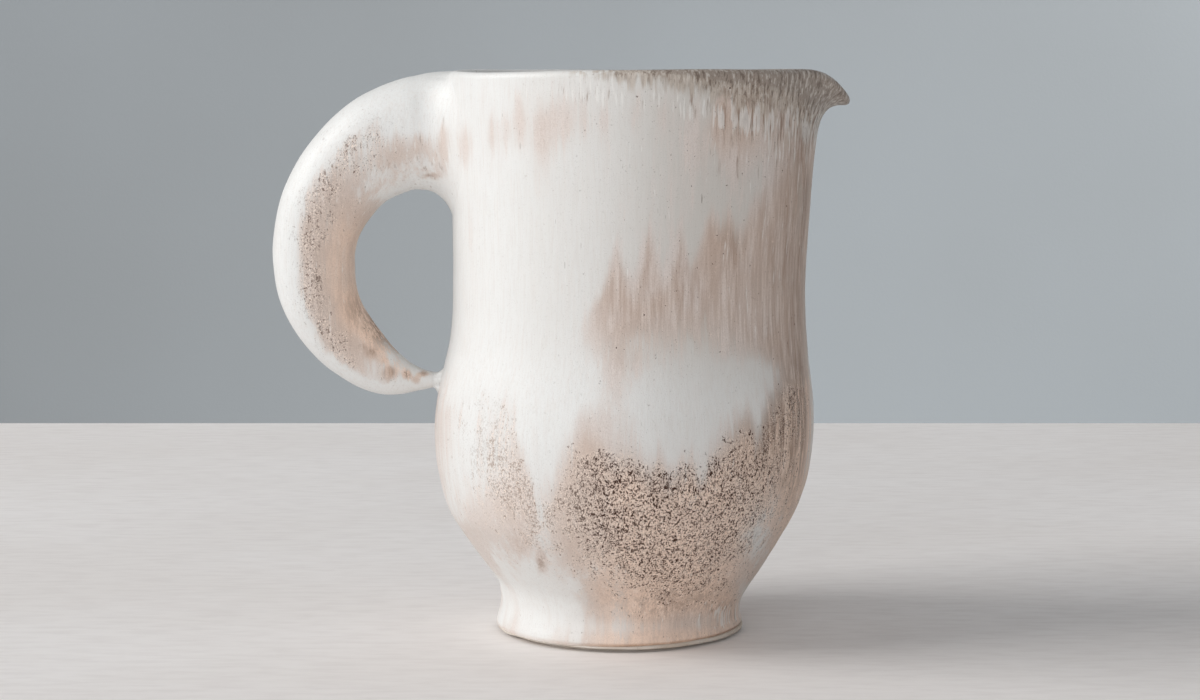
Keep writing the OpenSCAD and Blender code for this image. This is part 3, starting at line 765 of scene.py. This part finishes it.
    colour = g.mix(g.mul(g.mul(specks, strong), hide), colour, dark)
    # Fine pepper everywhere, and a few dark hairs in the white.
    pepper = g.step(g.noise((3.2, 3.2, 3.2), 1.0, 0.5, 0.0, (s, 1.3, 6.6)), 0.64, 0.74)
    colour = g.mix(g.mul(pepper, 0.2), colour, linear((120, 100, 86)))
    hairs = g.step(g.noise((1.6, 1.6, 0.13), 1.0, 0.5, 0.0, (6.2, 1.9, s)), 0.8, 0.82)
    colour = g.mix(g.mul(hairs, 0.6), colour, linear((104, 86, 74)))
    # Orange-tan line where the glaze stops at the foot.
    colour = g.mix(g.mul(g.attr("edge"), g.step(streak, 0.3, 0.6, (0.35, 0.75))), colour, linear((186, 150, 122)))
    rough = g.add(g.step(cover, 0.0, 1.0, (0.6, 0.48)), g.mul(g.add(grain, -0.5), 0.16))
    rough = g.add(rough, g.mul(specks, 0.1))
    normal = g.bump(streak, 0.1)
    normal = g.bump(fine, 0.022, normal)
    normal = g.bump(grain, 0.045, normal)
    pit = g.step(g.noise((1.1, 1.1, 1.1), 1.0, 0.5, 0.0, (4.4, s, s)), 0.7, 0.76)
    normal = g.bump(g.mul(pit, -1.0), 0.06, normal)
    normal = g.bump(g.mul(specks, -1.0), 0.05, normal)
    return g.finish(colour, rough, normal, Specular_IOR_Level=0.42, Coat_Weight=0.05, Coat_Roughness=0.35)


def bare_clay():
    g = Graph("bare clay")
    soft = g.noise((0.07, 0.07, 0.07), 3.0, 0.55)
    grog = g.noise((1.7, 1.7, 1.7), 3.0, 0.65)
    sand = g.noise((4.5, 4.5, 4.5), 2.0, 0.6, 0.0, (1, 2, 3))
    colour = g.mix(g.step(soft, 0.3, 0.7), linear((212, 204, 195)), linear((198, 185, 171)))
    colour = g.mix(g.mul(g.step(grog, 0.6, 0.72), 0.5), colour, linear((128, 108, 92)))
    colour = g.mix(g.mul(g.step(sand, 0.62, 0.7), 0.35), colour, linear((228, 221, 210)))
    rough = g.step(sand, 0.3, 0.7, (0.78, 0.94))
    drag = g.noise((0.05, 1.2, 1.2), 2.0, 0.6, 0.0, (5, 1, 0))
    normal = g.bump(drag, 0.22)
    normal = g.bump(grog, 0.12, normal)
    normal = g.bump(sand, 0.06, normal)
    return g.finish(colour, rough, normal, Specular_IOR_Level=0.25)


def table_top():
    g = Graph("table")
    soft = g.noise((0.004, 0.006, 0.004), 4.0, 0.55)
    fine = g.noise((0.06, 0.25, 0.25), 3.0, 0.6)
    colour = g.mix(g.step(soft, 0.3, 0.7), linear((242, 238, 236)), linear((236, 231, 228)))
    colour = g.mix(g.step(fine, 0.35, 0.75, (0.0, 0.25)), colour, linear((206, 199, 196)))
    rough = g.step(fine, 0.3, 0.7, (0.66, 0.8))
    normal = g.bump(fine, 0.02)
    return g.finish(colour, rough, normal, Specular_IOR_Level=0.22)


def back_wall():
    g = Graph("back wall")
    soft = g.noise((0.0009, 0.0009, 0.0009), 3.0, 0.5)
    colour = g.mix(g.step(soft, 0.3, 0.7), linear((160, 163, 165)), linear((166, 170, 173)))
    rough = g.step(soft, 0.3, 0.7, (0.8, 0.95))
    normal = g.bump(g.noise((0.2, 0.2, 0.2), 2.0, 0.5), 0.2)
    return g.finish(colour, rough, normal, Specular_IOR_Level=0.2)


GLAZE = {
    "glazed_wall": glaze("glazed wall", 0.0),
    "glazed_inside": glaze("glazed inside", 3.0),
}
BARE = bare_clay()

# --- pieces ------------------------------------------------------------------------


def sheet(rows, cols, base=0, loop=True, close=False):
    """Quads between neighbouring rows of a grid."""
    out = []
    last = rows if close else rows - 1
    i = np.arange(last)[:, None]
    j = np.arange(cols if loop else cols - 1)[None, :]
    k = (j + 1) % cols
    n = (i + 1) % rows
    q = np.stack([i * cols + j, i * cols + k, n * cols + k, n * cols + j], -1)
    return q.reshape(-1, 4) + base


def make(name, node, P, quads, normals=None, fans=(), fields=None, materials=(), which=None, flat=None):
    """One mesh piece from points in mm. Fans are lists of ring indices closed to a centre point."""
    P = np.asarray(P, float).reshape(-1, 3)
    faces = [tuple(int(i) for i in q) for q in quads]
    pts = [P]
    extra = []
    count = len(P)
    for ring, centre in fans:
        pts.append(np.asarray(centre, float)[None, :])
        for a, b in zip(ring, list(ring[1:]) + [ring[0]]):
            extra.append((int(a), int(b), count))
        count += 1
    P = np.vstack(pts)
    tri = []
    for f in faces + extra:
        tri.append((f[0], f[1], f[2]))
        if len(f) == 4:
            tri.append((f[0], f[2], f[3]))
    T = np.array(tri)
    vol = np.einsum("ij,ij->i", P[T[:, 0]], np.cross(P[T[:, 1]], P[T[:, 2]])).sum()
    faces = faces + extra
    if vol < 0:
        faces = [f[::-1] for f in faces]
    mesh = bpy.data.meshes.new(name)
    mesh.from_pydata((P / 1000.0).tolist(), [], faces)
    for m in materials:
        mesh.materials.append(m)
    mesh.update()
    mesh.polygons.foreach_set("use_smooth", [True] * len(mesh.polygons))
    if which is not None:
        w = np.concatenate([np.asarray(which, int), np.zeros(len(extra), int)])
        mesh.polygons.foreach_set("material_index", w.tolist())
    if normals is not None:
        N = np.zeros((len(P), 3))
        given = np.asarray(normals).reshape(-1, 3)
        N[: len(given)] = given
        fn = np.zeros(len(mesh.polygons) * 3)
        mesh.polygons.foreach_get("normal", fn)
        fn = fn.reshape(-1, 3)
        loops = np.zeros(len(mesh.loops), int)
        mesh.loops.foreach_get("vertex_index", loops)
        start = np.zeros(len(mesh.polygons), int)
        total = np.zeros(len(mesh.polygons), int)
        mesh.polygons.foreach_get("loop_start", start)
        mesh.polygons.foreach_get("loop_total", total)
        per_loop = np.repeat(np.arange(len(start)), total)
        ln = N[loops]
        sign = np.sign((ln * fn[per_loop]).sum(-1).sum())
        ln = ln * (sign if sign else 1.0)
        own = np.zeros(len(start), bool)
        own[len(quads):] = True
        if flat is not None:
            own[: len(quads)] |= np.asarray(flat, bool)
        mesh.polygons.foreach_set("use_smooth", (~own).tolist())
        bad = own[per_loop] | (np.linalg.norm(ln, axis=-1) < 0.5)
        ln[bad] = fn[per_loop][bad]
        mesh.normals_split_custom_set(ln.tolist())
    if fields is not None:
        for key, values in fields.items():
            v = np.zeros(len(P))
            flat_values = np.asarray(values, float).reshape(-1)
            v[: len(flat_values)] = flat_values
            layer = mesh.attributes.new(key, "FLOAT", "POINT")
            layer.data.foreach_set("value", v.astype(np.float32))
    obj = bpy.data.objects.new(name, mesh)
    bpy.context.scene.collection.objects.link(obj)
    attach(obj, "root")
    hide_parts(node)
    return obj


def join_fields(out, inner, mask):
    return {k: np.where(mask, inner[k], out[k]) for k in out}


# Wall and spout come from one grid, so that their surfaces run on across the seam.
rows_i = np.arange(ROWS)[:, None] + np.zeros((1, NCOL), int)
cols_j = np.zeros((ROWS, 1), int) + np.arange(NCOL)[None, :]
inner_vertex = rows_i >= N_OUT + LIP_ROWS // 2 + 1
wall_fields = join_fields(wall_glaze(WALL_P), inside_glaze(WALL_P), inner_vertex)
all_quads = sheet(ROWS, NCOL, close=True)
row_of = np.repeat(np.arange(ROWS), NCOL)
col_of = np.tile(np.arange(NCOL), ROWS)
LAST = ROWS - 1 - NOTCH_ROW
in_spout = ((col_of < SPOUT_COL) | (col_of >= NCOL - SPOUT_COL)) & (row_of >= NOTCH_ROW) & (row_of < LAST)
bottom = row_of == ROWS - 1
inside_face = (row_of >= N_OUT + LIP_ROWS // 2) & ~bottom


def grid_piece(name, node, slot_name, keep, seam_sign):
    quads = all_quads[keep]
    # The cut faces through the wall's thickness: along the notch's floor and its two sides.
    def pair(r):
        return ROWS - 1 - r
    seam = []
    span = [(j % NCOL) for j in range(-SPOUT_COL, SPOUT_COL + 1)]
    for a, b in zip(span[:-1], span[1:]):
        seam.append((pair(NOTCH_ROW) * NCOL + a, pair(NOTCH_ROW) * NCOL + b, NOTCH_ROW * NCOL + b, NOTCH_ROW * NCOL + a))
    middle = (ROWS - 1) / 2.0
    for j, turn in ((SPOUT_COL % NCOL, 1), (-SPOUT_COL % NCOL, -1)):
        r = NOTCH_ROW
        while pair(r) - r > 2:
            q = (r * NCOL + j, (r + 1) * NCOL + j, pair(r + 1) * NCOL + j, pair(r) * NCOL + j)
            seam.append(q if turn < 0 else q[::-1])
            r += 1
        if pair(r) - r == 2:
            t = (r * NCOL + j, (r + 1) * NCOL + j, pair(r) * NCOL + j)
            seam.append(t if turn < 0 else t[::-1])
    return quads, seam


def compact(P, N, fields, faces):
    used = np.unique(np.concatenate([np.array(f).ravel() for f in faces]))
    back = np.full(len(P), -1)
    back[used] = np.arange(len(used))
    return P[used], N[used], {k: np.asarray(v).reshape(-1)[used] for k, v in fields.items()}, [
        tuple(back[list(f)]) for f in faces
    ]


for name, node, slot_name, keep in (
    ("body_wall_turned", "body_wall", "glazed_wall", ~in_spout),
    ("spout_pulled", "spout", "glazed_spout", in_spout),
):
    quads, seam = grid_piece(name, node, slot_name, keep, 1)
    if name == "spout_pulled":
        seam = [s for s in seam]
    else:
        seam = [s[::-1] for s in seam]
    faces = [tuple(q) for q in quads] + seam
    which = np.concatenate([inside_face[keep].astype(int), np.zeros(len(seam), int)])
    flat = np.concatenate([bottom[keep], np.ones(len(seam), bool)])
    P, N, F, faces = compact(WALL_P.reshape(-1, 3), WALL_N.reshape(-1, 3), wall_fields, faces)
    make(name, node, P, faces, N, fields=F,
         materials=[GLAZE["glazed_wall"], GLAZE["glazed_inside"]], which=which, flat=flat)

# Handle.
phi_all = np.arange(NPHI) * 2 * np.pi / NPHI
c_all = np.cos(phi_all)[None, :] + 0 * HANDLE_P[..., 0]
t_all = HANDLE_T[:, None] + 0 * HANDLE_P[..., 0]
nr = len(HANDLE_P)
make(
    "handle_pulled", "handle", HANDLE_P, sheet(nr, NPHI), HANDLE_N,
    fans=[(list(range(NPHI))[::-1], HANDLE_P[0].mean(0)), (list(range((nr - 1) * NPHI, nr * NPHI)), HANDLE_P[-1].mean(0))],
    fields=handle_glaze(HANDLE_P, c_all, t_all), materials=[GLAZE["glazed_wall"]],
)


def blend_piece(name, node, skin, wall_n, handle_rows, handle_end, shrink_to, depth, fields):
    """A joint smear: its skin, a lining just inside the wall, and a cap on the handle's own end."""
    n = len(skin)
    joined = np.concatenate([skin, handle_rows[1:3]])
    N = grid_normals(joined)[:n]
    if (N[2] * wall_n).sum() < 0:
        N = -N
    N[0] = wall_n
    N[1] = N[1] + wall_n
    N[1] /= np.linalg.norm(N[1], axis=-1, keepdims=True)
    N[-1] = handle_end * np.sign((handle_end * N[-1]).sum())
    lining = [shrink_to(k) for k in (0.82, 0.6, 0.36, 0.14)]
    P = np.concatenate([np.array(lining)[::-1], skin])
    m = len(lining)
    rows = len(P)
    full_n = np.concatenate([np.repeat(-wall_n[None], m, 0), N])
    flat = np.zeros((rows - 1) * NPHI, bool)
    flat[: m * NPHI] = True
    f = {k: np.concatenate([np.repeat(np.asarray(v)[:1], m, 0), np.asarray(v)]) for k, v in fields.items()}
    make(
        name, node, P, sheet(rows, NPHI), full_n,
        fans=[(list(range(NPHI))[::-1], P[0].mean(0)), (list(range((rows - 1) * NPHI, rows * NPHI)), P[-1].mean(0))],
        fields=f, materials=[GLAZE["glazed_wall"]], flat=flat,
    )


def shrink_root(k):
    phi = np.arange(NPHI) * 2 * np.pi / NPHI
    s = np.concatenate([[0], np.cumsum(np.linalg.norm(np.diff(WALL_P[:, NCOL // 2], axis=0), axis=-1))])
    crest = N_OUT - 1 + (LIP_ROWS + 1) / 2.0
    s_mid = np.interp(row_of_height(math.pi, 168.5), np.arange(ROWS), s)
    s_top = np.interp(crest, np.arange(ROWS), s)
    s_bot = np.interp(row_of_height(math.pi, 139.6), np.arange(ROWS), s)
    cs = np.cos(phi)
    row = np.interp(s_mid + k * np.where(cs > 0, (s_top - s_mid) * cs, (s_mid - s_bot) * cs), s, np.arange(ROWS))
    y = -(15.4 + 13.0) * k * np.sin(phi)
    pts, nrm = on_wall(math.pi - np.arcsin(np.clip(y / 60.9, -1, 1)), row)
    return pts - nrm * 1.2


def shrink_tip(k):
    phi = np.arange(NPHI) * 2 * np.pi / NPHI
    z = 85.4 - 4.0 * k * np.cos(phi)
    y = -4.6 * k * np.sin(phi)
    pts, nrm = on_wall(math.pi - np.arcsin(np.clip(y / 62.8, -1, 1)), row_of_height(math.pi, z))
    return pts - nrm * 1.2


def mixed(a, b, w):
    return {k: a[k] * (1 - w) + b[k] * w for k in a}


w_root = np.linspace(0, 1, len(ROOT_P))[:, None] + 0 * ROOT_P[..., 0]
c_root = np.cos(phi_all)[None, :] + 0 * w_root
f_root = mixed(wall_glaze(ROOT_P), handle_glaze(ROOT_P, c_root, 0 * w_root), ramp(w_root, 0, 1))
blend_piece("root_coil_smeared", "handle_root_coil", ROOT_P, ROOT_WN, HANDLE_P, HANDLE_N[0], shrink_root, 1.2, f_root)
w_tip = np.linspace(0, 1, len(TIP_P))[:, None] + 0 * TIP_P[..., 0]
c_tip = np.cos(phi_all)[None, :] + 0 * w_tip
f_tip = handle_glaze(TIP_P, c_tip, 15 + 0 * w_tip)
f_tip["white"] = f_tip["white"] + 0.5
blend_piece("tip_dab_pressed", "handle_tip_dab", TIP_P, TIP_WN, HANDLE_P[::-1], HANDLE_N[-1], shrink_tip, 1.2, f_tip)

# Slab and the coil in the inside corner.
SLAB_P = slab_grid()
ns = len(SLAB_P)
slab_fields = inside_glaze(SLAB_P)
glazed_floor = (np.arange(ns - 1) < 6)
make(
    "base_slab_trimmed", "base_slab", SLAB_P, sheet(ns, NCOL), grid_normals(SLAB_P),
    fans=[(list(range(NCOL))[::-1], (0, 0, 3.0)), (list(range((ns - 1) * NCOL, ns * NCOL)), (0, 0, 0.0))],
    fields=slab_fields, materials=[BARE, GLAZE["glazed_inside"]], which=np.repeat(glazed_floor, NCOL).astype(int),
)
COIL_P = coil_grid()
make(
    "seam_coil_smoothed", "base_seam_coil", COIL_P, sheet(len(COIL_P), NCOL, close=True), None,
    fields=inside_glaze(COIL_P), materials=[GLAZE["glazed_inside"]],
)

# --- stage ---------------------------------------------------------------------------


def plain(name, corners, material):
    mesh = bpy.data.meshes.new(name)
    mesh.from_pydata([tuple(c) for c in corners], [], [tuple(range(len(corners)))])
    mesh.materials.append(material)
    mesh.update()
    obj = bpy.data.objects.new(name, mesh)
    bpy.context.scene.collection.objects.link(obj)
    return obj


plain("floor", [(-4, -4, 0), (4, -4, 0), (4, 0.518, 0), (-4, 0.518, 0)], table_top())
plain("backdrop", [(-7, 3.4, -3), (7, 3.4, -3), (7, 3.4, 4), (-7, 3.4, 4)], back_wall())

world = bpy.data.worlds.new("world")
bpy.context.scene.world = world
world.use_nodes = True
sky = world.node_tree.nodes["Background"]
sky.inputs["Color"].default_value = (0.77, 0.79, 0.81, 1.0)
sky.inputs["Strength"].default_value = 0.45


def area(name, where, at, size, power, colour):
    data = bpy.data.lights.new(name, "AREA")
    data.shape = "RECTANGLE"
    data.size, data.size_y = size
    data.energy = power
    data.color = colour
    obj = bpy.data.objects.new(name, data)
    bpy.context.scene.collection.objects.link(obj)
    obj.location = where
    aim = Vector(at) - Vector(where)
    obj.rotation_euler = aim.to_track_quat("-Z", "Y").to_euler()
    obj.visible_camera = False
    return obj


area("window", (-3.35, -0.4, 2.35), (0.0, 0.0, 0.1), (2.4, 2.2), 112.0, (1.0, 0.997, 0.985))
area("front_fill", (-0.8, -2.5, 0.42), (0.0, 0.0, 0.06), (2.2, 0.7), 22.0, (0.98, 0.985, 1.0))
area("wall_wash", (2.2, 2.2, 1.2), (1.3, 3.4, 0.0), (1.2, 1.6), 39.0, (0.94, 0.98, 1.0))
area("wall_glow", (0.2, 2.3, -0.95), (0.15, 3.4, -0.1), (1.4, 0.8), 8.0, (0.95, 0.985, 1.0))

bpy.context.scene.view_settings.view_transform = "Standard"
